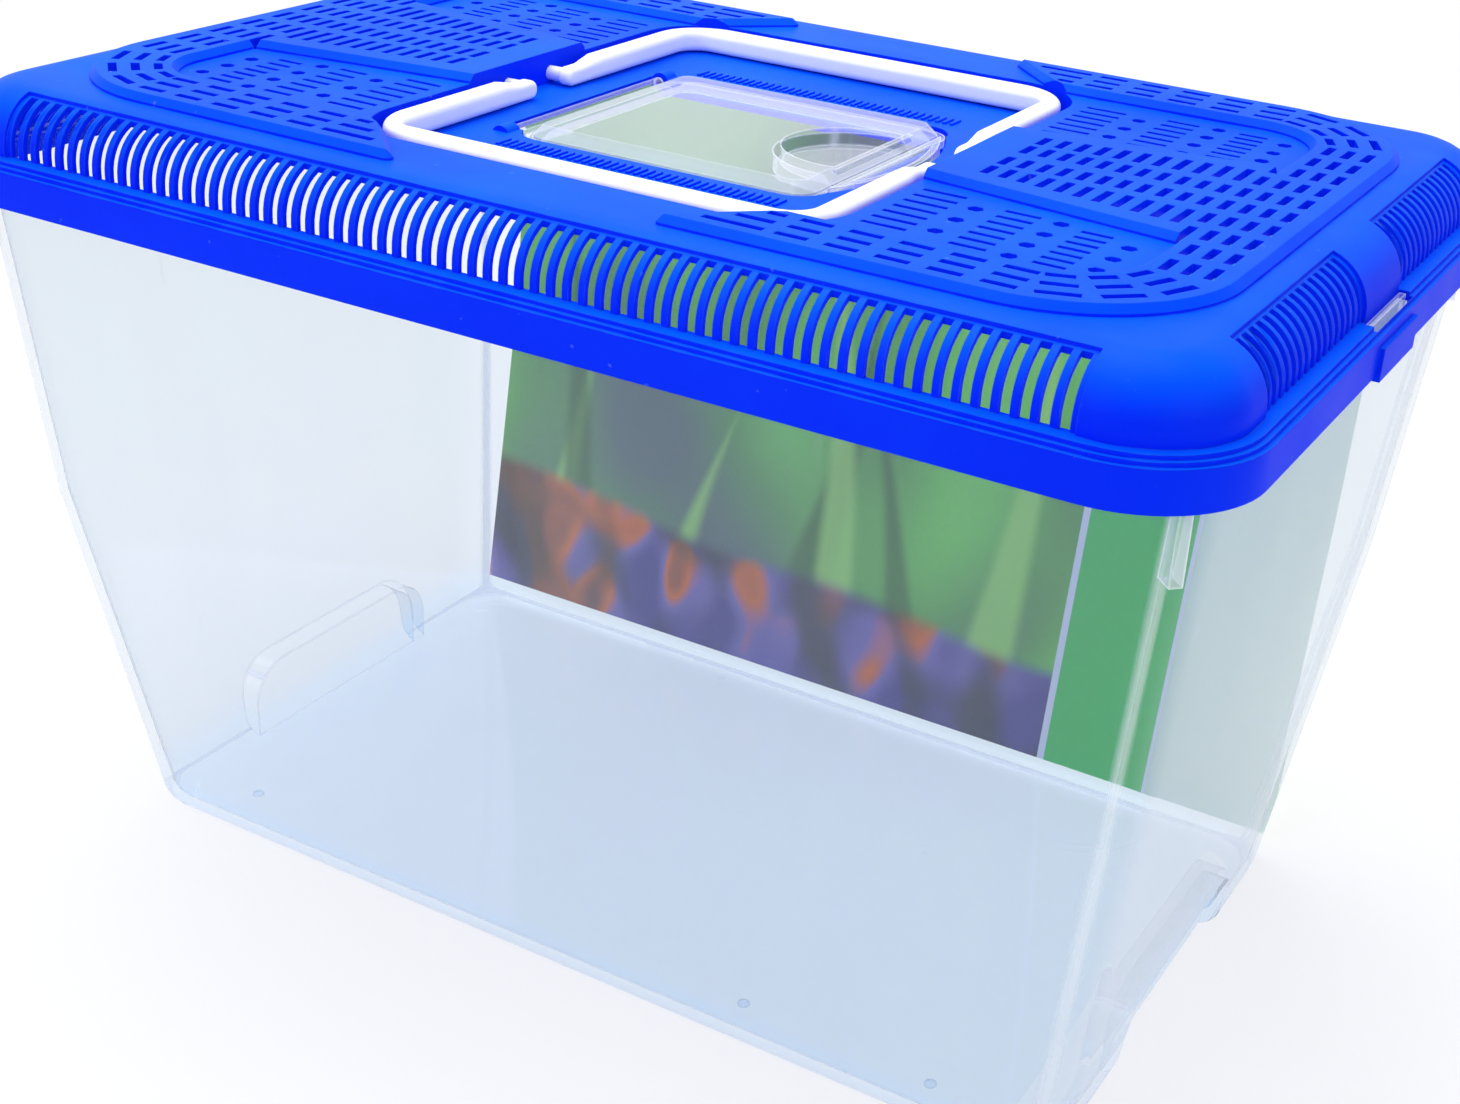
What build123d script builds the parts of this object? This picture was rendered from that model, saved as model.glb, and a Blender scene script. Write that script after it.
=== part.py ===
from build123d import *
from math import cos, radians, sin
import os

# A small plastic aquarium: clear tank, backdrop card, ventilated lid, clear hatch, two bail handles.
# Millimetres. X runs along the length, Y to the back, Z up from the table. Origin under the middle.

# Plastic walls and clearances
tank_wall = 2.2
lid_wall = 2.0
moving_gap = 0.3
pin_clearance = 0.06
card_thickness = 0.5
card_gap = 0.05

# Lid outline and levels, heights above the table
lid_length = 309.0
lid_width = 208.0
lid_corner_radius = 25.0
skirt_bottom_z = 171.0
ledge_z = 181.2
ledge_step = 0.9
ledge_steps = 2
dome_inset = 4.0
dome_radius = 12.0
plateau_z = 194.75
panel_z = 196.8

# Grilles of upright slots in the front, back and ends of the lid
grille_slot_width = 2.2
front_slot_count = 68
front_grille_margin = 3.4
end_slot_count = 16
end_grille_margin = 7.0
slot_top_run = 8.0
rib_recess = 0.8
recess_margin = 0.5

# Raised panels: a ring with a tongue, around two sunken pockets at each end of the lid
panel_end_margin = 1.9
panel_side_margin = 3.4
panel_corner_radius = 33.6
panel_bevel = 1.5
ring_breadth = 16.5
ring_nose_x = 33.5
tongue_root_half_width = 29.5
tongue_tip_half_width = 21.5

# Slots and holes through the raised panels and the pockets
vent_width = 2.0
ring_row_insets = (3.6, 8.6, 13.6)
ring_first_slots = ((46.6, 13.4), (48.55, 8.5), (50.6, 4.0))
ring_slot_x = 59.25
ring_slot_length = 7.0
ring_slot_count = 5
corner_first_angle = 20.5
corner_step_angle = 22.5
corner_slot_count = 3
corner_slot_share = 0.28
column_start = 10.7
column_margin = 4.4
tongue_columns = 11
end_columns = 3
end_rows = 10
tongue_end_rows = 6
tongue_slot_length = 6.8
end_slot_length = 7.3
side_slot_start = (10.8, 13.1)
side_slot_end = (17.3, 23.5)
pocket_hole_radius = 1.8
pocket_holes = ((76.2, 35.1, 9.05, 3), (93.9, 33.3, 8.25, 4), (110.4, 39.1, 8.1, 3))
louvre_width = 1.5
louvre_count = 7
pocket_louvres = ((66.8, 9.8, 29.6, 4.5), (85.3, 7.8, 32.3, 4.27), (102.2, 6.7, 35.0, 3.87))

# Well in the middle of the lid, which holds the handles and the hatch
well_half_length = 58.5
well_half_width = 70.0
well_corner_radius = 18.0
well_floor_z = 189.2

# Bail handles, folded flat in the well
handle_leg_gap = 3.2
handle_bar_gap = 4.0
handle_bar_width = 5.0
handle_leg_width = 4.2
handle_thickness = 4.4
handle_outer_radius = 14.0
handle_inner_radius = 6.0
handle_end_radius = 2.15
handle_edge = 1.3
pivot_y = 8.5
pivot_pin_radius = 1.74
pivot_pin_depth = 3.0

# Clear hatch and its hinge
hatch_left_x = -37.8
hatch_right_x = 38.5
hatch_half_width = 35.0
hatch_corner_radius = 7.0
hatch_top_z = 188.3
hatch_wall = 1.6
hatch_rise = 3.0
hatch_flange = 2.0
hatch_bevel = 2.4
hatch_gap = 0.5
hatch_web_overlap = 1.0
hinge_x = -41.0
hinge_z = 188.0
barrel_radius = 1.5
barrel_half_length = 30.0
hinge_pin_radius = 1.0
hinge_pin_length = 3.5
hinge_boss_radius = 2.5
hinge_boss_length = 4.4
rest_lip = 2.5
rest_lip_thickness = 1.4
finger_cup_left_x = 14.0
finger_cup_right_x = 34.0
finger_cup_half_width = 16.5
finger_cup_depth = 4.0
bow_reach_x = 45.0
bow_half_width = 27.0
bow_thickness = 1.6
bow_height = 3.0
bow_gap = 1.2

# Tank: its rim under the lid, and how far its walls draw in, first to a knee and then to the base
rim_clearance = 0.6
rim_thickness = 2.2
rim_end_overhang = 2.8
rim_side_overhang = 4.3
knee_z = 94.2
knee_draw = 7.0
base_end_draw = 11.3
base_side_draw = 16.2
tank_corner_radius = 15.5
tank_base_edge = 7.3
tank_floor = 2.6
gusset_drop = 21.0
gusset_width = 2.7
gusset_spread = 1.8

# End latch windows and grips of the lid, and finger recesses under the ends of the tank
window_half_width = 13.0
window_depth = 3.0
lug_side_gap = 1.0
grip_half_width = 12.4
grip_proud = 1.0
grip_height = 7.0
grip_drop = 1.0
recess_depth = 4.0
recess_half_width = 34.0
recess_height = 21.0
recess_corner = 10.0

# Backdrop card on the outside of the back wall
card_end_margin = 1.8
card_bottom_z = 6.0
card_top_margin = 2.7


def rounded_block(length, width, radius, low, high, top_radius=0):
    """A block with rounded upright corners, and a rounded top edge where a radius is given."""
    with BuildPart() as block:
        with BuildSketch(Plane.XY.offset(low)):
            RectangleRounded(length, width, radius)
        extrude(amount=high - low)
        if top_radius:
            fillet(block.edges().group_by(Axis.Z)[-1], top_radius)
    return block.part


def both_ends(solid):
    """The solid at the right end with its mirror image at the left end."""
    with BuildPart() as pair:
        add(solid)
        mirror(about=Plane.YZ)
    return pair.part


# Places worked out from the sizes above
dome_length = lid_length - 2 * dome_inset
dome_width = lid_width - 2 * dome_inset
dome_corner_radius = lid_corner_radius - dome_inset
ledge_underside_z = ledge_z - lid_wall
slot_pitch = (dome_length - 2 * dome_corner_radius - 2 * front_grille_margin) / front_slot_count
end_group_centre_y = dome_width / 2 - dome_corner_radius - end_grille_margin - slot_pitch * end_slot_count / 2
panel_outer_x = dome_length / 2 - dome_radius - panel_bevel - panel_end_margin
panel_corner_x = panel_outer_x - panel_corner_radius
ring_half_width = dome_width / 2 - dome_radius - panel_bevel - panel_side_margin
ring_inner_half_width = ring_half_width - ring_breadth
panel_corner_y = ring_half_width - panel_corner_radius
handle_half_length = well_half_length - handle_leg_gap
handle_reach_y = well_half_width - handle_bar_gap
handle_bottom_z = well_floor_z + moving_gap
pivot_z = handle_bottom_z + handle_thickness / 2
pivot_pin_tip_x = well_half_length + pivot_pin_depth
rim_top_z = ledge_underside_z - moving_gap
rim_underside_z = rim_top_z - rim_thickness
rim_length = lid_length - 2 * lid_wall - 2 * rim_clearance
rim_width = lid_width - 2 * lid_wall - 2 * rim_clearance
mouth_half_x = rim_length / 2 - rim_end_overhang
mouth_half_y = rim_width / 2 - rim_side_overhang
knee_half_x = mouth_half_x - knee_draw
knee_half_y = mouth_half_y - knee_draw
base_half_x = knee_half_x - base_end_draw
base_half_y = knee_half_y - base_side_draw

# Dome, its hollow, and the layer that the ribs are set back by
dome = rounded_block(dome_length, dome_width, dome_corner_radius, skirt_bottom_z, plateau_z, dome_radius)
rib_surface = rounded_block(
    dome_length - 2 * rib_recess, dome_width - 2 * rib_recess, dome_corner_radius - rib_recess,
    skirt_bottom_z, plateau_z - rib_recess, dome_radius - rib_recess)
dome_hollow = rounded_block(
    dome_length - 2 * lid_wall, dome_width - 2 * lid_wall, dome_corner_radius - lid_wall,
    skirt_bottom_z, plateau_z - lid_wall, dome_radius - lid_wall)
skirt_hollow = rounded_block(
    lid_length - 2 * lid_wall, lid_width - 2 * lid_wall, lid_corner_radius - lid_wall,
    skirt_bottom_z, ledge_underside_z)
well_tub = rounded_block(
    2 * (well_half_length + lid_wall), 2 * (well_half_width + lid_wall), well_corner_radius + lid_wall,
    well_floor_z - lid_wall, panel_z)
well = rounded_block(
    2 * well_half_length, 2 * well_half_width, well_corner_radius, well_floor_z, panel_z + lid_wall)


def panel_outline(plane):
    """The E-shaped outline of the right raised panel at the foot of its bevel."""
    inner_radius = panel_corner_radius - ring_breadth
    inner_x = panel_outer_x - ring_breadth
    with BuildSketch(plane) as outline:
        with BuildLine():
            Polyline((panel_corner_x, ring_half_width), (ring_nose_x, ring_half_width),
                     (ring_nose_x, -ring_half_width), (panel_corner_x, -ring_half_width))
            CenterArc((panel_corner_x, -panel_corner_y), panel_corner_radius, -90, 90)
            Line((panel_outer_x, -panel_corner_y), (panel_outer_x, panel_corner_y))
            CenterArc((panel_corner_x, panel_corner_y), panel_corner_radius, 0, 90)
        make_face()
        for side in (1, -1):
            with BuildLine():
                Polyline((panel_corner_x, side * ring_inner_half_width),
                         (ring_nose_x + ring_breadth, side * ring_inner_half_width),
                         (ring_nose_x, side * ring_half_width),
                         (ring_nose_x, 0), (well_half_length, 0),
                         (well_half_length, side * tongue_tip_half_width),
                         (inner_x, side * tongue_root_half_width),
                         (inner_x, side * panel_corner_y))
                CenterArc((panel_corner_x, side * panel_corner_y), inner_radius, 0, side * 90)
            make_face(mode=Mode.SUBTRACT)
        offset(amount=panel_bevel)
    return outline.sketch


# Raised panels: bevelled plates on the dome, and the cores that keep their walls even
foot_z = plateau_z - lid_wall / 2
with BuildPart() as panel:
    add(panel_outline(Plane.XY.offset(foot_z)))
    extrude(amount=panel_z - foot_z)
    chamfer(panel.edges().group_by(Axis.Z)[-1], panel_bevel)

with BuildPart() as panel_core:
    with BuildSketch(Plane.XY.offset(plateau_z - 2 * lid_wall)):
        add(panel_outline(Plane.XY))
        offset(amount=-lid_wall)
    extrude(amount=panel_z - lid_wall - (plateau_z - 2 * lid_wall))

# Vents of the right raised panel and its pockets, as seen from above, then both ends
ring_slot_pitch = (panel_corner_x - ring_slot_x) / (ring_slot_count - 1)
column_x = well_half_length + column_start
column_pitch = (panel_outer_x - column_margin - column_x) / (tongue_columns + end_columns)
row_pitch = 2 * panel_corner_y / (end_rows - 1)
vent_cut_z = panel_z + lid_wall
with BuildSketch(Plane.XY.offset(vent_cut_z)) as vents:
    for side in (1, -1):
        for inset, (first_x, first_length) in zip(ring_row_insets, ring_first_slots):
            row = ring_half_width - inset
            radius = panel_corner_radius - inset
            with Locations((first_x, side * row)):
                Rectangle(first_length, vent_width)
            middle_x = (ring_slot_x + panel_corner_x) / 2
            with Locations((middle_x, side * row)), GridLocations(ring_slot_pitch, 0, ring_slot_count, 1):
                Rectangle(ring_slot_length, vent_width)
            for step in range(corner_slot_count):
                turn = corner_first_angle + step * corner_step_angle
                x = panel_corner_x + radius * sin(radians(turn))
                y = side * (panel_corner_y + radius * cos(radians(turn)))
                with Locations(Location((x, y), -side * turn)):
                    Rectangle(corner_slot_share * radius, vent_width)
        for column in range(tongue_columns):
            share = column / (tongue_columns - 1)
            inner = side_slot_start[0] + share * (side_slot_start[1] - side_slot_start[0])
            outer = side_slot_end[0] + share * (side_slot_end[1] - side_slot_end[0])
            x = column_x + column * column_pitch
            with Locations((x, side * (inner + outer) / 2)):
                Rectangle(vent_width, outer - inner)
            with Locations((x, side * row_pitch / 2)):
                Rectangle(vent_width, tongue_slot_length)
        for x, first_y, pitch, count in pocket_holes:
            with Locations(*[(x, side * (first_y + pitch * step)) for step in range(count)]):
                RegularPolygon(pocket_hole_radius, 6)
        for x, length, first_y, pitch in pocket_louvres:
            with Locations(*[(x, side * (first_y + pitch * step)) for step in range(louvre_count)]):
                Rectangle(length, louvre_width)
    first_end_x = column_x + column_pitch * tongue_columns
    with Locations((first_end_x, 0)), GridLocations(0, row_pitch, 1, tongue_end_rows):
        Rectangle(vent_width, end_slot_length)
    with Locations((first_end_x + column_pitch * (end_columns + 1) / 2, 0)):
        with GridLocations(column_pitch, row_pitch, end_columns, end_rows):
            Rectangle(vent_width, end_slot_length)
    mirror(about=Plane.YZ)

# Grille slots: upright cuts through the shoulder of the dome, one grille on each side
grille_half_length = slot_pitch * front_slot_count / 2 + recess_margin
group_half_length = slot_pitch * end_slot_count / 2 + recess_margin
with BuildSketch(Plane.XY.offset(ledge_z)) as grille_slots:
    with Locations((0, (dome_width - slot_top_run) / 2), (0, -(dome_width - slot_top_run) / 2)):
        with GridLocations(slot_pitch, 0, front_slot_count, 1):
            Rectangle(grille_slot_width, slot_top_run)
    with GridLocations(dome_length - slot_top_run, 2 * end_group_centre_y, 2, 2):
        with GridLocations(0, slot_pitch, 1, end_slot_count):
            Rectangle(slot_top_run, grille_slot_width)

with BuildPart() as grille_recess:
    with BuildSketch(Plane.XY.offset(ledge_z)):
        with GridLocations(0, dome_width - slot_top_run, 1, 2):
            Rectangle(2 * grille_half_length, slot_top_run + 2 * recess_margin)
        with GridLocations(dome_length - slot_top_run, 2 * end_group_centre_y, 2, 2):
            Rectangle(slot_top_run + 2 * recess_margin, 2 * group_half_length)
    extrude(amount=plateau_z - ledge_z)
    add(rib_surface, mode=Mode.SUBTRACT)

# Hatch opening in the floor of the well: the hatch's outline with a gap, its bow and its hinge
def bow_outline(plane, grow):
    """The bowed snap strip at the free end of the hatch, or the space that it takes."""
    with BuildSketch(plane) as outline:
        with BuildLine():
            ThreePointArc((hatch_right_x, -bow_half_width), (bow_reach_x, 0), (hatch_right_x, bow_half_width))
            Line((hatch_right_x, bow_half_width), (hatch_right_x, -bow_half_width))
        make_face()
        if grow:
            offset(amount=grow)
    return outline.sketch


def hatch_outline(plane, grow):
    """The rounded outline of the hatch, or of the opening around it."""
    with BuildSketch(plane) as outline:
        with Locations(((hatch_left_x + hatch_right_x) / 2, 0)):
            RectangleRounded(hatch_right_x - hatch_left_x + 2 * grow, 2 * (hatch_half_width + grow),
                             hatch_corner_radius + grow)
    return outline.sketch


lip_z = hatch_top_z - hatch_wall - moving_gap
hinge_slot_left_x = hinge_x - barrel_radius - hatch_gap
hinge_slot_half_width = barrel_half_length + hatch_gap
bore_radius = hinge_pin_radius + pin_clearance
with BuildPart() as opening_cut:
    with BuildSketch(Plane.XY.offset(lip_z)):
        add(hatch_outline(Plane.XY, hatch_gap))
        add(bow_outline(Plane.XY, bow_gap))
        with Locations(((hinge_slot_left_x + hatch_left_x) / 2, 0)):
            Rectangle(hatch_left_x - hinge_slot_left_x + 2 * hatch_gap, 2 * hinge_slot_half_width)
    extrude(amount=panel_z - lip_z)
    with BuildSketch(Plane.XY.offset(lip_z)):
        with Locations(((hinge_slot_left_x + hatch_right_x - rest_lip) / 2, 0)):
            Rectangle(hatch_right_x - rest_lip - hinge_slot_left_x, 2 * hinge_slot_half_width)
        add(bow_outline(Plane.XY, bow_gap))
    extrude(amount=-lid_wall * 2)

with BuildPart() as rest_frame:
    with BuildSketch(Plane.XY.offset(lip_z - rest_lip_thickness)):
        add(hatch_outline(Plane.XY, hatch_gap + lid_wall))
    extrude(amount=well_floor_z - lip_z + rest_lip_thickness)

with BuildPart() as hinge_bosses:
    with BuildSketch(Plane.XZ):
        with Locations((hinge_x, hinge_z)):
            Circle(hinge_boss_radius)
    extrude(amount=hinge_slot_half_width + hinge_boss_length, both=True)
    with BuildSketch(Plane.XZ):
        with Locations((hinge_x, hinge_z)):
            Circle(hinge_boss_radius + lid_wall)
    extrude(amount=hinge_slot_half_width, both=True, mode=Mode.SUBTRACT)

# Lid: skirt with its stepped ledge, dome, panels and well, all one moulding
with BuildPart() as lid:
    for step in range(ledge_steps + 1):
        inset = step * ledge_step
        with BuildSketch(Plane.XY.offset(skirt_bottom_z)):
            RectangleRounded(lid_length - 2 * inset, lid_width - 2 * inset, lid_corner_radius - inset)
        extrude(amount=ledge_z - (ledge_steps - step) * ledge_step - skirt_bottom_z)
    add(dome)
    add(both_ends(panel.part))
    add(grille_recess.part, mode=Mode.SUBTRACT)
    add(skirt_hollow, mode=Mode.SUBTRACT)
    add(dome_hollow - well_tub, mode=Mode.SUBTRACT)
    add(both_ends(panel_core.part - well_tub), mode=Mode.SUBTRACT)
    add(well, mode=Mode.SUBTRACT)
    add(rest_frame.part)
    add(opening_cut.part, mode=Mode.SUBTRACT)
    add(hinge_bosses.part)
    with BuildSketch(Plane.XZ):
        with Locations((hinge_x, hinge_z)):
            Circle(bore_radius)
    extrude(amount=hinge_slot_half_width + hinge_pin_length + moving_gap, both=True, mode=Mode.SUBTRACT)
    with BuildSketch(Plane.YZ):
        with Locations((pivot_y, pivot_z), (-pivot_y, pivot_z)):
            Circle(pivot_pin_radius + pin_clearance)
    extrude(amount=pivot_pin_tip_x + moving_gap, both=True, mode=Mode.SUBTRACT)
    extrude(vents.sketch, amount=-(vent_cut_z - plateau_z + 2 * lid_wall), mode=Mode.SUBTRACT)
    extrude(grille_slots.sketch, amount=plateau_z - ledge_z, mode=Mode.SUBTRACT)
    for side in (1, -1):
        with BuildSketch(Plane.XY.offset(skirt_bottom_z - grip_drop)):
            with Locations((side * (lid_length / 2 - lid_wall / 2 + grip_proud / 2), 0)):
                Rectangle(lid_wall + grip_proud, 2 * grip_half_width)
        extrude(amount=grip_height)
        with BuildSketch(Plane.XY.offset(ledge_z)):
            with Locations((side * (dome_length + window_depth) / 2, 0)):
                Rectangle(window_depth, 2 * window_half_width)
        extrude(amount=-2 * lid_wall - rim_thickness, mode=Mode.SUBTRACT)

# Handles: a flat bail each, with a pivot pin at the end of each leg
def bail(side):
    """The bail on one side of the well, lying flat, with its bar away from the middle."""
    with BuildPart() as handle:
        with BuildSketch(Plane.XY.offset(handle_bottom_z)):
            leg_end_y = pivot_y - handle_thickness / 2
            with BuildLine():
                inner_x = handle_half_length - handle_leg_width
                inner_y = handle_reach_y - handle_bar_width
                FilletPolyline((handle_half_length, leg_end_y), (handle_half_length, handle_reach_y),
                               (-handle_half_length, handle_reach_y), (-handle_half_length, leg_end_y),
                               radius=handle_outer_radius)
                Line((-handle_half_length, leg_end_y), (-inner_x, leg_end_y))
                FilletPolyline((-inner_x, leg_end_y), (-inner_x, inner_y), (inner_x, inner_y),
                               (inner_x, leg_end_y), radius=handle_inner_radius)
                Line((inner_x, leg_end_y), (handle_half_length, leg_end_y))
            make_face()
        extrude(amount=handle_thickness)
        ends = handle.faces().sort_by(Axis.Y)[0:2]
        fillet(ends.edges().filter_by(Axis.X), handle_end_radius)
        sides = handle.faces().filter_by(lambda face: abs(face.normal_at().Z) < 0.01)
        fillet(sides.edges().filter_by(Axis.Z, reverse=True), handle_edge)
        for direction in (1, -1):
            with BuildSketch(Plane.YZ.offset(direction * (handle_half_length - handle_leg_width / 2))):
                with Locations((pivot_y, pivot_z)):
                    Circle(pivot_pin_radius)
            extrude(amount=direction * (pivot_pin_tip_x - handle_half_length + handle_leg_width / 2))
        if side < 0:
            mirror(about=Plane.XZ, mode=Mode.REPLACE)
    return handle


front_handle = bail(-1)
back_handle = bail(1)

# Hatch: a raised clear tray with a finger cup, a bowed snap strip and a barrel hinge
hatch_bottom_z = hatch_top_z - hatch_wall
crown_z = hatch_top_z + hatch_rise
with BuildPart() as crown:
    add(hatch_outline(Plane.XY.offset(hatch_bottom_z), -hatch_flange))
    extrude(amount=crown_z - hatch_bottom_z)
    chamfer(crown.edges().group_by(Axis.Z)[-1], hatch_bevel)

with BuildPart() as crown_hollow:
    add(hatch_outline(Plane.XY.offset(hatch_bottom_z), -hatch_flange - hatch_wall))
    extrude(amount=hatch_rise)
    chamfer(crown_hollow.edges().group_by(Axis.Z)[-1], hatch_bevel)


def finger_cup(plane, grow):
    """The D-shaped outline of the finger cup, round towards the hinge and straight at the free end."""
    with BuildSketch(plane) as outline:
        with BuildLine():
            ThreePointArc((finger_cup_right_x + grow, -finger_cup_half_width - grow),
                          (finger_cup_left_x - grow, 0),
                          (finger_cup_right_x + grow, finger_cup_half_width + grow))
            Line((finger_cup_right_x + grow, finger_cup_half_width + grow),
                 (finger_cup_right_x + grow, -finger_cup_half_width - grow))
        make_face()
    return outline.sketch


with BuildPart() as hatch:
    add(hatch_outline(Plane.XY.offset(hatch_bottom_z), 0))
    extrude(amount=hatch_wall)
    add(crown.part)
    add(crown_hollow.part, mode=Mode.SUBTRACT)
    add(finger_cup(Plane.XY.offset(crown_z), hatch_wall))
    extrude(amount=-finger_cup_depth - hatch_wall)
    add(finger_cup(Plane.XY.offset(crown_z), 0))
    extrude(amount=-finger_cup_depth, mode=Mode.SUBTRACT)
    with BuildSketch(Plane.XY.offset(hatch_bottom_z)):
        add(bow_outline(Plane.XY, 0))
        offset(amount=-bow_thickness, mode=Mode.SUBTRACT)
    extrude(amount=bow_height)
    with BuildSketch(Plane.XZ):
        with Locations((hinge_x, hinge_z)):
            Circle(barrel_radius)
    extrude(amount=barrel_half_length, both=True)
    with BuildSketch(Plane.XZ):
        with Locations((hinge_x, hinge_z)):
            Circle(hinge_pin_radius)
    extrude(amount=barrel_half_length + hinge_pin_length, both=True)
    with BuildSketch(Plane.XY.offset(hatch_bottom_z)):
        with Locations(((hinge_x + hatch_left_x + hatch_web_overlap) / 2, 0)):
            Rectangle(hatch_left_x - hinge_x + hatch_web_overlap, 2 * barrel_half_length)
    extrude(amount=hatch_wall)

# Tank: tapering walls with a knee, a rim under the lid, gussets at the corners, recesses at the ends
def frustum(low, high, radius):
    """A tapering block between two levels, each given as half length, half width and height."""
    with BuildPart() as block:
        for plane, across, along in ((Plane.XZ, 0, 1), (Plane.YZ, 1, 0)):
            with BuildSketch(plane):
                with BuildLine():
                    Polyline((-low[across], low[2]), (low[across], low[2]),
                             (high[across], high[2]), (-high[across], high[2]), close=True)
                make_face()
            extrude(amount=high[along], both=True, mode=Mode.INTERSECT if across else Mode.ADD)
        fillet(block.edges().filter_by(lambda edge: abs((edge % 0.5).Z) > 0.5), radius)
    return block.part


def tank_form(inset, bottom_z, top_z):
    """The tank's tapering form with its knee, drawn in by a wall."""
    radius = tank_corner_radius - inset
    rise = (top_z - knee_z) / (rim_top_z - knee_z)
    base = (base_half_x - inset, base_half_y - inset, bottom_z)
    knee = (knee_half_x - inset, knee_half_y - inset, knee_z)
    mouth = (knee[0] + rise * knee_draw, knee[1] + rise * knee_draw, top_z)
    with BuildPart() as form:
        add(frustum(base, knee, radius))
        fillet(form.edges().group_by(Axis.Z)[0], tank_base_edge - inset)
        add(frustum(knee, mouth, radius))
    return form.part


def recess_blocks(grow):
    """The finger recesses under both ends of the tank, or the walls around them."""
    with BuildPart() as blocks:
        for side in (1, -1):
            with BuildSketch(Plane.YZ.offset(side * (base_half_x - recess_depth - grow))):
                RectangleRounded(2 * (recess_half_width + grow), 2 * (recess_height + grow), recess_corner + grow)
            extrude(amount=side * (recess_depth + base_end_draw))
    return blocks.part


rim_radius = lid_corner_radius - lid_wall - rim_clearance
lug_inner_x = dome_length / 2 + moving_gap
lug_outer_x = lid_length / 2 - lid_wall - moving_gap
lug_half_width = window_half_width - lug_side_gap
gusset_x = mouth_half_x - tank_corner_radius
gusset_y = mouth_half_y - tank_corner_radius
hollow = tank_form(tank_wall, tank_floor, rim_top_z + tank_wall)
with BuildPart() as tank:
    add(tank_form(0, 0, rim_top_z))
    add(rounded_block(rim_length, rim_width, rim_radius, rim_underside_z, rim_top_z))
    for side in (1, -1):
        with BuildSketch(Plane.XY.offset(rim_underside_z)):
            with Locations((side * (lug_outer_x + lug_inner_x) / 2, 0)):
                Rectangle(lug_outer_x - lug_inner_x, 2 * lug_half_width)
        extrude(amount=rim_thickness + lid_wall)
    for end, side in ((1, 1), (-1, 1), (-1, -1), (1, -1)):
        fin = Plane(origin=(end * gusset_x, side * gusset_y, rim_underside_z),
                    x_dir=(end, side, 0), z_dir=(side, -end, 0))
        with BuildSketch(fin):
            with Locations(((tank_corner_radius + gusset_spread) / 2, -gusset_drop / 2)):
                Rectangle(tank_corner_radius + gusset_spread, gusset_drop)
        extrude(amount=gusset_width / 2, both=True)
    add(hollow - recess_blocks(tank_wall), mode=Mode.SUBTRACT)
    add(recess_blocks(0), mode=Mode.SUBTRACT)

# Backdrop card: a bent sheet that lies on the outside of the back wall
with BuildPart() as backdrop_card:
    base_y = base_half_y + base_side_draw * card_bottom_z / knee_z + card_gap
    knee_y = knee_half_y + card_gap
    card_top_z = rim_underside_z - card_top_margin
    top_y = knee_y + knee_draw * (card_top_z - knee_z) / (rim_top_z - knee_z)
    front = ((base_y, card_bottom_z), (knee_y, knee_z), (top_y, card_top_z))
    with BuildSketch(Plane.YZ):
        with BuildLine():
            Polyline(*front, *[(y + card_thickness, z) for y, z in reversed(front)], close=True)
        make_face()
    extrude(amount=base_half_x - card_end_margin, both=True)

os.makedirs("parts", exist_ok=True)
pieces = {
    "tank": tank, "backdrop_card": backdrop_card, "lid": lid, "hatch": hatch,
    "front_handle": front_handle, "back_handle": back_handle,
}
for name, piece in pieces.items():
    piece.part.label = name
    export_step(piece.part, f"parts/{name}.step")
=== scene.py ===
from math import cos, radians, sin

import bpy
from mathutils import Matrix, Vector


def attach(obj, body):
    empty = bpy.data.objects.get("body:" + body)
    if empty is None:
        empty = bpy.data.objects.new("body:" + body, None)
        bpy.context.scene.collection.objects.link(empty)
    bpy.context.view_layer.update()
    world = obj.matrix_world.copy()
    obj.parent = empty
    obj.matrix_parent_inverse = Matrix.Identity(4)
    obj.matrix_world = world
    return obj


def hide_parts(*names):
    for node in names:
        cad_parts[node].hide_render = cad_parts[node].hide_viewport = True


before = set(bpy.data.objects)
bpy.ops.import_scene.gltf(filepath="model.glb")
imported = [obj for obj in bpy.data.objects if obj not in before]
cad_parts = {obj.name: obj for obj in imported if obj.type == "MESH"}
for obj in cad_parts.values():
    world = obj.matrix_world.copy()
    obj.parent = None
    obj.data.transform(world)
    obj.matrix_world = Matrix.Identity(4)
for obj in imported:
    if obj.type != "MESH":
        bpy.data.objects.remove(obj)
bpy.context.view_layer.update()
bpy.ops.object.select_all(action="DESELECT")

MM = 0.001


# Shader building

class Signal:
    """The output of a shader node, which can be added, subtracted and multiplied."""

    def __init__(self, shader, socket):
        self.shader = shader
        self.socket = socket

    def __add__(self, other):
        return self.shader.math("ADD", self, other)

    def __radd__(self, other):
        return self.shader.math("ADD", other, self)

    def __sub__(self, other):
        return self.shader.math("SUBTRACT", self, other)

    def __rsub__(self, other):
        return self.shader.math("SUBTRACT", other, self)

    def __mul__(self, other):
        return self.shader.math("MULTIPLY", self, other)

    def __rmul__(self, other):
        return self.shader.math("MULTIPLY", other, self)


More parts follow.
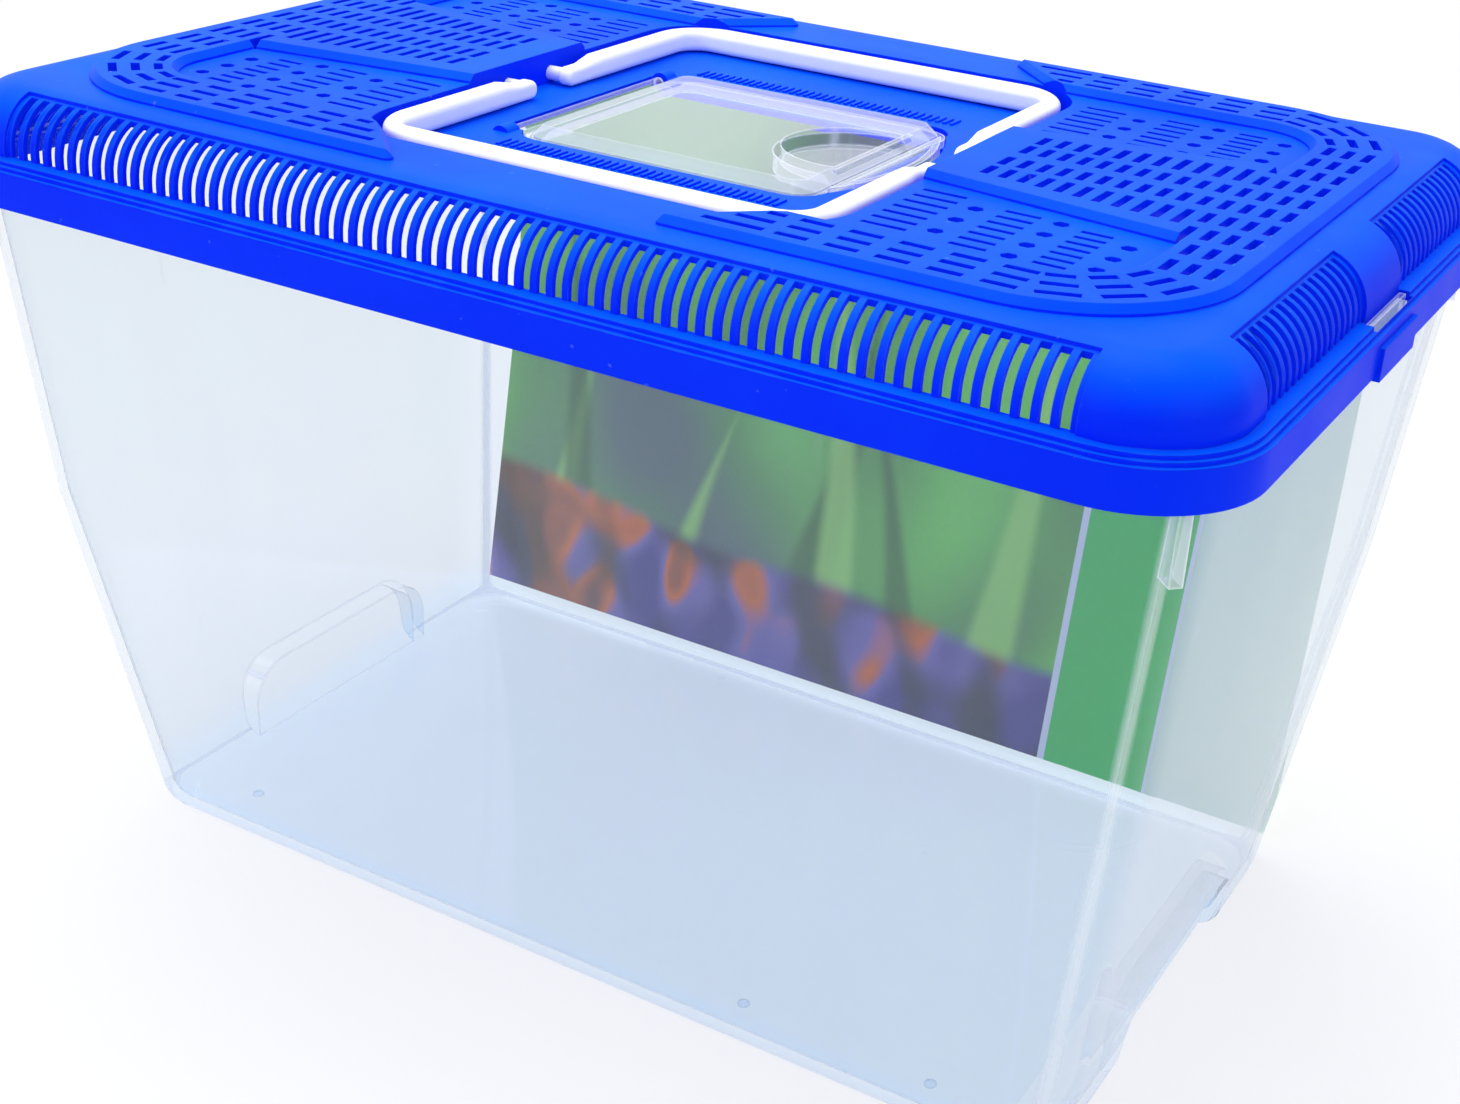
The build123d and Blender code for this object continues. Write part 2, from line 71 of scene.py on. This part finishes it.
class Shader:
    """The nodes of a material or of the world, from texture coordinates to the surface."""

    def __init__(self, owner):
        owner.use_nodes = True
        self.owner = owner
        self.tree = owner.node_tree
        self.tree.nodes.clear()

    def node(self, kind, settings=None, values=None, output=0):
        """A node of any kind: its settings first, then the values or links of its sockets."""
        made = self.tree.nodes.new(kind)
        for name, value in (settings or {}).items():
            if name == "stops":
                while len(made.color_ramp.elements) < len(value):
                    made.color_ramp.elements.new(1.0)
                for stop, (position, hue) in zip(made.color_ramp.elements, value):
                    stop.position = position
                    stop.color = hue
            else:
                setattr(made, name, value)
        for name, value in (values or {}).items():
            if isinstance(value, Signal):
                self.tree.links.new(value.socket, made.inputs[name])
            else:
                made.inputs[name].default_value = value
        return Signal(self, made.outputs[output]) if made.outputs else None

    def math(self, operation, *terms):
        return self.node("ShaderNodeMath", {"operation": operation}, dict(enumerate(terms)))

    def absolute(self, value):
        return self.math("ABSOLUTE", value)

    def largest(self, first, *others):
        for other in others:
            first = self.math("MAXIMUM", first, other)
        return first

    def step(self, value, low, high):
        """A soft step from 0 at low to 1 at high."""
        return self.node("ShaderNodeMapRange", {"interpolation_type": "SMOOTHSTEP"}, {
            "Value": value, "From Min": low, "From Max": high})

    def place(self):
        """The place on the object, in metres."""
        return self.node("ShaderNodeTexCoord", output="Object")

    def facing(self):
        """The direction that the surface faces, on the object."""
        return self.node("ShaderNodeTexCoord", output="Normal")

    def component(self, vector, axis):
        return self.node("ShaderNodeSeparateXYZ", None, {0: vector}, output=axis)

    def squeezed(self, scale, turn=(0.0, 0.0, 0.0)):
        """The place, turned and then stretched or flattened along each axis."""
        return self.node("ShaderNodeMapping", None, {
            "Vector": self.place(), "Scale": scale, "Rotation": turn})

    def noise(self, scale, detail, vector=None):
        return self.node("ShaderNodeTexNoise", None, {
            "Vector": vector or self.place(), "Scale": scale, "Detail": detail})

    def blend(self, share, first, second):
        """A blend of two colours."""
        return self.node("ShaderNodeMix", {"data_type": "RGBA"}, {0: share, 6: first, 7: second}, output=2)

    def ramp(self, share, stops):
        return self.node("ShaderNodeValToRGB", {"stops": stops}, {"Fac": share})

    def bump(self, height, distance, normal):
        return self.node("ShaderNodeBump", None, {"Height": height, "Distance": distance, "Normal": normal})

    def bare_normal(self):
        return self.node("ShaderNodeNewGeometry", output="Normal")

    def soft_edges(self, radius):
        """The surface's normal, rounded over at its edges."""
        return self.node("ShaderNodeBevel", {"samples": 4}, {"Radius": radius})

    def edges(self, rounded):
        """A mask that is 1 along sharp edges and 0 elsewhere."""
        alike = self.node("ShaderNodeVectorMath", {"operation": "DOT_PRODUCT"}, {
            0: rounded, 1: self.bare_normal()}, output="Value")
        return self.step(1 - alike, 0.02, 0.3)

    def worn_and_highlit_edges(self, rounded):
        """A mask that is 1 on stretches of the edges, for wear and painted highlights, and 0 elsewhere."""
        return self.edges(rounded) * self.step(self.noise(scale=140.0, detail=3.0), 0.35, 0.7)

    def turning(self, low, high):
        """A mask that rises where the surface curves from one main face to the next."""
        direction = self.facing()
        squarest = self.largest(*(self.absolute(self.component(direction, axis)) for axis in "XYZ"))
        return self.step(1 - squarest, low, high)

    def ray(self, kind):
        """1 for rays of a kind, and 0 for all others."""
        return self.node("ShaderNodeLightPath", output=f"Is {kind} Ray")

    def seen_past(self):
        """1 for rays from the camera, a reflection or a clear wall, and 0 for rays that light things."""
        return self.largest(self.ray("Camera"), self.ray("Glossy"), self.ray("Transmission"))

    def principled(self, values):
        return self.node("ShaderNodeBsdfPrincipled", None, values)

    def mix(self, share, first, second):
        """A mix of two surfaces."""
        return self.node("ShaderNodeMixShader", None, {0: share, 1: first, 2: second})

    def finished(self, surface, kind="Material"):
        """The material or world, with this as its surface."""
        self.node(f"ShaderNodeOutput{kind}", None, {"Surface": surface})
        return self.owner


def new_material(name):
    return Shader(bpy.data.materials.new(name))


def colour(red, green, blue):
    """A colour given as it looks on screen, 0 to 255, made linear."""
    return tuple(((level / 255 + 0.055) / 1.055) ** 2.4 for level in (red, green, blue)) + (1.0,)


# Plastic finishes

def lid_finish():
    """Blue moulded plastic with a satin grain and dust, painted lighter where it faces up as if lit from
    above, and paler along its edges for wear and painted highlights.
    """
    shader = new_material("blue_moulded_plastic")
    rounded = shader.soft_edges(0.45 * MM)
    clouds = shader.noise(scale=22.0, detail=3.0)
    streaks = shader.noise(scale=55.0, detail=3.0, vector=shader.squeezed((0.25, 1.0, 1.0)))
    grain = shader.noise(scale=2400.0, detail=2.0)
    dust = shader.step(shader.noise(scale=420.0, detail=1.0), 0.76, 0.82)
    # Painted light and shade: faces that look up get a lighter blue and the sides a deeper blue, as if lit
    # from above.
    faces_up = shader.step(shader.component(shader.facing(), "Z"), 0.2, 0.95)
    shaded_side_blue = shader.blend(clouds, colour(0, 30, 236), colour(0, 54, 248))
    lit_top_blue = shader.blend(clouds, colour(0, 66, 247), colour(0, 100, 255))
    worn_and_highlit_blue = colour(60, 145, 255)
    dusty_blue = colour(130, 170, 250)
    base = shader.blend(faces_up, shaded_side_blue, lit_top_blue)
    # Paler blue along stretches of the edges: partly wear, partly painted highlight.
    base = shader.blend(0.5 * shader.worn_and_highlit_edges(rounded), base, worn_and_highlit_blue)
    base = shader.blend(0.2 * dust, base, dusty_blue)
    return shader.finished(shader.principled({
        "Base Color": base, "Roughness": 0.33 + 0.16 * streaks + 0.1 * dust,
        "Normal": shader.bump(grain, 0.012 * MM, rounded), "IOR": 1.09}))


# Painted blue light: the tank floor is tinted bluer up to the first height, as if lit by blue light from
# the lid, and gives way to the wall tint by the second.
floor_blue_light_z = 4 * MM
wall_tint_z = 16 * MM


def clear_finish(name, tint, haze, corner_highlight_share, edge_highlight_share, floor_blue_light_tint=None):
    """Clear plastic under a pale veil of haze and scuffs, with painted highlights along its edges and
    rounded corners, a painted sheen at glancing angles, and a painted blue light tint near a floor.
    """
    shader = new_material(name)
    if floor_blue_light_tint:
        # Painted blue light on the floor of the tank.
        above_floor = shader.step(shader.component(shader.place(), "Z"), floor_blue_light_z, wall_tint_z)
        tint = shader.blend(above_floor, floor_blue_light_tint, tint)
    smears = shader.step(shader.noise(scale=30.0, detail=4.0, vector=shader.squeezed((1.0, 1.0, 0.25))),
                         0.45, 0.8)
    scratch_lie = shader.squeezed((1.0, 1.0, 0.06), turn=(0.3, 0.5, 0.0))
    scratches = shader.step(shader.noise(scale=160.0, detail=2.0, vector=scratch_lie), 0.74, 0.8)
    glancing = shader.node("ShaderNodeLayerWeight", None, {"Blend": 0.5}, output="Facing")
    clear = shader.principled({
        "Base Color": tint, "Roughness": 0.0, "IOR": 1.01, "Transmission Weight": 1.0,
        "Coat Weight": 0.4 - 0.15 * smears, "Coat Roughness": 0.04, "Coat IOR": 1.5})
    veil = shader.principled({"Base Color": colour(244, 249, 254), "Roughness": 0.5})
    # Painted highlights: the veil is thickened along rounded corners and sharp edges, and as a painted
    # sheen at glancing angles.
    curves = corner_highlight_share * shader.turning(0.22, 0.29)
    edges = edge_highlight_share * shader.edges(shader.soft_edges(1.0 * MM))
    glancing_sheen = 0.3 * shader.math("POWER", glancing, 4.0)
    haze_and_highlight_share = haze + 0.02 * smears + 0.05 * scratches + glancing_sheen + curves + edges
    open_way = shader.node("ShaderNodeBsdfTransparent", None, {"Color": (0.93, 0.95, 0.985, 1.0)})
    lets_through = shader.largest(shader.ray("Shadow"), shader.ray("Diffuse"))
    return shader.finished(shader.mix(lets_through, shader.mix(haze_and_highlight_share, clear, veil), open_way))


def handle_finish():
    """White moulded plastic with a faint satin grain and a little handling dirt."""
    shader = new_material("white_moulded_plastic")
    rounded = shader.soft_edges(0.5 * MM)
    grime = shader.step(shader.noise(scale=70.0, detail=4.0), 0.5, 0.85)
    grain = shader.noise(scale=1900.0, detail=2.0)
    return shader.finished(shader.principled({
        "Base Color": shader.blend(0.4 * grime, colour(251, 252, 253), colour(236, 239, 244)),
        "Roughness": 0.3 + 0.12 * grime, "Normal": shader.bump(grain, 0.01 * MM, rounded), "IOR": 1.49}))


# Printed card

# Leaf blades: foot x, height, lean and half width, all in millimetres but the lean
leaf_blades = (
    (-112, 92, 0.10, 7), (-98, 128, -0.12, 9), (-70, 70, 0.25, 6), (-26, 118, 0.16, 10),
    (-8, 150, -0.10, 8), (20, 96, -0.28, 7), (38, 135, 0.05, 9),
)
leaf_blur = 2.2 * MM
picture_edge = 64 * MM
strip_edge = 97 * MM
edge_blur = 0.3 * MM
rule_width = 2.2 * MM
rule_blur = 0.2 * MM


def leaf_print(shader, flat, x, z):
    """Blurred leaf blades, dark and light by turns, before a mottled green."""
    base = shader.ramp(shader.noise(scale=13.0, detail=1.0, vector=flat), (
        (0.34, colour(98, 122, 116)), (0.46, colour(98, 176, 86)),
        (0.56, colour(126, 230, 98)), (0.68, colour(168, 248, 130))))
    wander = 8 * MM * shader.noise(scale=16.0, detail=0.0, vector=flat)
    for index, (foot, height, lean, half_width) in enumerate(leaf_blades):
        middle = foot * MM + lean * z + wander
        taper = 1 - z * (1 / (height * MM))
        inside = half_width * MM * taper - shader.absolute(x - middle)
        leaf = colour(40, 106, 50) if index % 2 else colour(180, 246, 122)
        base = shader.blend(0.75 * shader.step(inside, -leaf_blur, leaf_blur), base, leaf)
    return base


def pebble_print(shader, flat):
    """Rounded pebbles of several colours with dark gaps between them."""
    cells = {"Vector": flat, "Scale": 70.0, "Randomness": 0.9}
    hue = shader.node("ShaderNodeTexVoronoi", {"feature": "SMOOTH_F1"}, cells, output="Color")
    stone = shader.ramp(shader.node("ShaderNodeSeparateColor", None, {0: hue}), (
        (0.1, colour(74, 66, 144)), (0.4, colour(130, 114, 184)),
        (0.6, colour(240, 120, 50)), (0.9, colour(132, 72, 58))))
    gap = shader.step(shader.node("ShaderNodeTexVoronoi", {"feature": "SMOOTH_F1"}, cells), 0.3, 0.65)
    return shader.blend(0.85 * gap, stone, colour(30, 44, 30))


def card_finish():
    """Printed card: leaf blades over a bank of pebbles, a plain green strip and a pale end."""
    shader = new_material("printed_foliage_card")
    x = shader.component(shader.place(), "X")
    z = shader.component(shader.place(), "Z")
    flat = shader.squeezed((1.0, 0.0, 0.7))
    bank = 24 * MM + 26 * MM * shader.noise(scale=11.0, detail=1.0, vector=flat) - 0.08 * x - z
    base = shader.blend(shader.step(bank, -3 * MM, 3 * MM), leaf_print(shader, flat, x, z),
                        pebble_print(shader, flat))
    green = shader.ramp(shader.noise(scale=9.0, detail=1.0, vector=flat), (
        (0.3, colour(46, 204, 88)), (0.7, colour(66, 226, 106))))
    base = shader.blend(shader.step(x, picture_edge, picture_edge + edge_blur), base, green)
    base = shader.blend(shader.step(x, strip_edge, strip_edge + edge_blur), base, colour(210, 242, 210))
    for edge in (picture_edge, strip_edge):
        off_rule = shader.step(shader.absolute(x - edge), rule_width / 2 - rule_blur, rule_width / 2)
        base = shader.blend(off_rule, colour(238, 243, 245), base)
    fibre = shader.noise(scale=700.0, detail=3.0)
    return shader.finished(shader.principled({
        "Base Color": base, "Roughness": 0.4 + 0.08 * fibre,
        "Normal": shader.bump(fibre, 0.004 * MM, shader.bare_normal())}))


# Pieces

merge_distance = 0.02 * MM
shell_smooth_angle = 32
card_smooth_angle = 20
bail_smooth_angle = 40
fitting_smooth_angle = 35


def dress(piece, body, finish):
    """Lets a piece ride on a body and take its finish."""
    piece.data.materials.clear()
    piece.data.materials.append(finish)
    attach(piece, body)


def moulding(node, name, smooth_angle):
    """A merged copy of a CAD node, with smooth shading over its rounded faces."""
    piece = bpy.data.objects.new(name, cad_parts[node].data.copy())
    piece.data.name = name
    bpy.context.scene.collection.objects.link(piece)
    bpy.context.view_layer.objects.active = piece
    piece.select_set(True)
    bpy.ops.object.mode_set(mode="EDIT")
    bpy.ops.mesh.select_all(action="SELECT")
    bpy.ops.mesh.remove_doubles(threshold=merge_distance)
    bpy.ops.object.mode_set(mode="OBJECT")
    bpy.ops.mesh.customdata_custom_splitnormals_clear()
    bpy.ops.object.shade_smooth_by_angle(angle=radians(smooth_angle))
    piece.select_set(False)
    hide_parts(node)
    return piece


bail_boss_y = 13.0 * MM
bail_full_y = 19.0 * MM
bail_fullness = 0.65 * MM


def fuller(bail, side):
    """Thickens the legs and bar of a bail upwards, beyond the ends that its pins turn in."""
    bpy.context.view_layer.objects.active = bail
    bail.select_set(True)
    bpy.ops.object.mode_set(mode="EDIT")
    for reach in (bail_boss_y, bail_full_y):
        bpy.ops.mesh.select_all(action="SELECT")
        bpy.ops.mesh.bisect(plane_co=(0.0, side * reach, 0.0), plane_no=(0.0, 1.0, 0.0))
    bpy.ops.mesh.select_all(action="DESELECT")
    bpy.ops.object.mode_set(mode="OBJECT")
    for vertex in bail.data.vertices:
        vertex.select = side * vertex.co.y > (bail_boss_y + bail_full_y) / 2
    bpy.ops.object.mode_set(mode="EDIT")
    bpy.ops.transform.shrink_fatten(value=bail_fullness)
    bpy.ops.transform.translate(value=(0.0, 0.0, bail_fullness))
    bpy.ops.object.mode_set(mode="OBJECT")
    bpy.ops.object.shade_smooth_by_angle(angle=radians(bail_smooth_angle))
    bail.select_set(False)
    return bail


def bevel_all_edges(width):
    """Bevels every edge of the active piece."""
    bpy.ops.object.mode_set(mode="EDIT")
    bpy.ops.mesh.select_all(action="SELECT")
    bpy.ops.mesh.bevel(offset=width, segments=2, affect="EDGES")
    bpy.ops.object.mode_set(mode="OBJECT")


def settled(piece):
    """Applies a new piece's place to its mesh and smooths it."""
    bpy.ops.object.transform_apply(location=True, rotation=True, scale=True)
    bpy.ops.object.shade_smooth_by_angle(angle=radians(fitting_smooth_angle))
    piece.select_set(False)
    return piece


well_floor_z = 189.2 * MM
strip_rib_count = 38
strip_rib_pitch = 1.9 * MM
strip_rib_size = (0.95 * MM, 5.0 * MM, 0.7 * MM)
strip_rib_bevel = 0.2 * MM
strip_rib_sunk = 0.2 * MM
strip_middle_y = 41.5 * MM


def rib_strip(name, side):
    """A row of fine ribs on the well floor, along one side of the hatch."""
    first_x = -strip_rib_pitch * (strip_rib_count - 1) / 2
    middle_z = well_floor_z + strip_rib_size[2] / 2 - strip_rib_sunk
    bpy.ops.mesh.primitive_cube_add(size=1.0, scale=strip_rib_size,
                                    location=(first_x, side * strip_middle_y, middle_z))
    rib = bpy.context.active_object
    rib.name = name
    bpy.ops.object.transform_apply(location=True, rotation=True, scale=True)
    bevel_all_edges(strip_rib_bevel)
    row = rib.modifiers.new("row", "ARRAY")
    row.use_relative_offset = False
    row.use_constant_offset = True
    row.constant_offset_displace = (strip_rib_pitch, 0.0, 0.0)
    row.count = strip_rib_count
    bpy.ops.object.modifier_apply(modifier="row")
    return settled(rib)


tank_floor_z = 2.6 * MM
gate_mark_radius = 1.5 * MM
gate_mark_thickness = 0.7 * MM
gate_mark_bevel = 0.25 * MM
gate_mark_places = ((-104.6, -58.4), (48.6, -61.2), (98.0, -62.0))


def gate_mark(index, x, y):
    """A small round moulding mark on the floor of the tank."""
    bpy.ops.mesh.primitive_cylinder_add(vertices=24, radius=gate_mark_radius, depth=gate_mark_thickness,
                                        location=(x * MM, y * MM, tank_floor_z))
    mark = bpy.context.active_object
    mark.name = f"gate_mark_{index}"
    bevel_all_edges(gate_mark_bevel)
    return settled(mark)


lid_plastic = lid_finish()
tank_plastic = clear_finish(
    "clear_tank_plastic", tint=(0.86, 0.895, 0.932, 1.0), haze=0.01, corner_highlight_share=0.3, edge_highlight_share=0.45,
    floor_blue_light_tint=(0.80, 0.90, 1.0, 1.0))
hatch_plastic = clear_finish(
    "clear_hatch_plastic", tint=(0.94, 0.945, 0.985, 1.0), haze=0.06, corner_highlight_share=0.2, edge_highlight_share=0.6)
handle_plastic = handle_finish()

dress(moulding("tank", "clear_tank_shell", shell_smooth_angle), "tank", tank_plastic)
dress(moulding("backdrop_card", "printed_card", card_smooth_angle), "tank", card_finish())
dress(moulding("lid", "ventilated_lid_shell", shell_smooth_angle), "lid", lid_plastic)
dress(moulding("hatch", "clear_hatch_shell", shell_smooth_angle), "hatch", hatch_plastic)
front_bail = fuller(moulding("front_handle", "front_bail", bail_smooth_angle), -1)
back_bail = fuller(moulding("back_handle", "back_bail", bail_smooth_angle), 1)
dress(front_bail, "front_handle", handle_plastic)
dress(back_bail, "back_handle", handle_plastic)
dress(rib_strip("front_rib_strip", -1), "lid", lid_plastic)
dress(rib_strip("back_rib_strip", 1), "lid", lid_plastic)
for index, (x, y) in enumerate(gate_mark_places, start=1):
    dress(gate_mark(index, x, y), "tank", tank_plastic)


# Studio

floor_size = 9.0
floor_shadow_reach = 0.25
floor_white_from = 1.1
floor_glow = 0.7
world_light = 0.42
world_tint = (0.96, 0.98, 1.0, 1.0)
lamp_aim = Vector((0.0, 0.0, 0.1))
white = (1.0, 1.0, 1.0, 1.0)


def floor_finish():
    """Pale floor that shows the shadow near the aquarium and looks white to the camera beyond it."""
    shader = new_material("pale_studio_floor")
    distance = shader.node("ShaderNodeVectorMath", {"operation": "LENGTH"}, {0: shader.place()},
                           output="Value")
    beyond = shader.step(distance, floor_shadow_reach, floor_white_from)
    base = shader.blend(shader.noise(scale=40.0, detail=2.0), (0.94, 0.945, 0.95, 1.0),
                        (0.96, 0.965, 0.97, 1.0))
    matt = shader.principled({"Base Color": base, "Roughness": 1.0, "Specular IOR Level": 0.0})
    glow = shader.node("ShaderNodeEmission", None, {"Color": white, "Strength": 1.0})
    glow_share = shader.seen_past() * (floor_glow + (1 - floor_glow) * beyond)
    return shader.finished(shader.mix(glow_share, matt, glow))


def studio_world():
    """Even pale light all around, which looks white to the camera."""
    shader = Shader(bpy.data.worlds.new("studio_world"))
    lit = shader.node("ShaderNodeBackground", None, {"Color": world_tint, "Strength": world_light})
    seen = shader.node("ShaderNodeBackground", None, {"Color": white, "Strength": 1.0})
    return shader.finished(shader.mix(shader.seen_past(), lit, seen), kind="World")


def softbox(name, place, size, power):
    """A square soft lamp that faces the middle of the aquarium."""
    bpy.ops.object.light_add(type="AREA", location=place)
    lamp = bpy.context.active_object
    lamp.name = name
    lamp.data.size = size
    lamp.data.energy = power
    lamp.rotation_euler = (lamp_aim - Vector(place)).to_track_quat("-Z", "Y").to_euler()
    lamp.select_set(False)


bpy.ops.mesh.primitive_plane_add(size=floor_size, location=(0.0, 0.0, 0.0))
floor = bpy.context.active_object
floor.name = "studio_floor"
floor.data.materials.append(floor_finish())
floor.select_set(False)
bpy.context.scene.world = studio_world()
softbox("overhead_softbox", place=(-0.3, 0.2, 1.3), size=1.2, power=18.0)
softbox("front_softbox", place=(-0.7, -1.3, 0.8), size=1.0, power=8.0)
softbox("side_softbox", place=(1.3, -0.4, 0.7), size=0.9, power=5.0)


# Camera: the view that the photograph was taken from

photo_width = 1460
photo_height = 1104
focal_length = 2102.7
optical_centre = (771.4, 554.9)
sensor_width = 36.0
camera_target = Vector((42.0, -48.6, 113.3)) * MM
camera_distance = 457.7 * MM
camera_azimuth = radians(28.845)
camera_elevation = radians(26.346)
camera_roll = radians(3.345)

backward = Vector((cos(camera_elevation) * sin(camera_azimuth),
                   -cos(camera_elevation) * cos(camera_azimuth), sin(camera_elevation)))
level_right = (-backward).cross(Vector((0.0, 0.0, 1.0))).normalized()
level_up = level_right.cross(-backward)
right = level_right * cos(camera_roll) + level_up * sin(camera_roll)
up = level_up * cos(camera_roll) - level_right * sin(camera_roll)
bpy.ops.object.camera_add()
camera = bpy.context.active_object
camera.name = "photo_camera"
camera.data.sensor_width = sensor_width
camera.data.lens = focal_length * sensor_width / photo_width
camera.data.shift_x = (photo_width / 2 - optical_centre[0]) / photo_width
camera.data.shift_y = (optical_centre[1] - photo_height / 2) / photo_width
camera.matrix_world = Matrix.Translation(camera_target + backward * camera_distance) @ Matrix(
    (right, up, backward)).transposed().to_4x4()
bpy.context.scene.camera = camera
bpy.context.scene.view_settings.view_transform = "Standard"
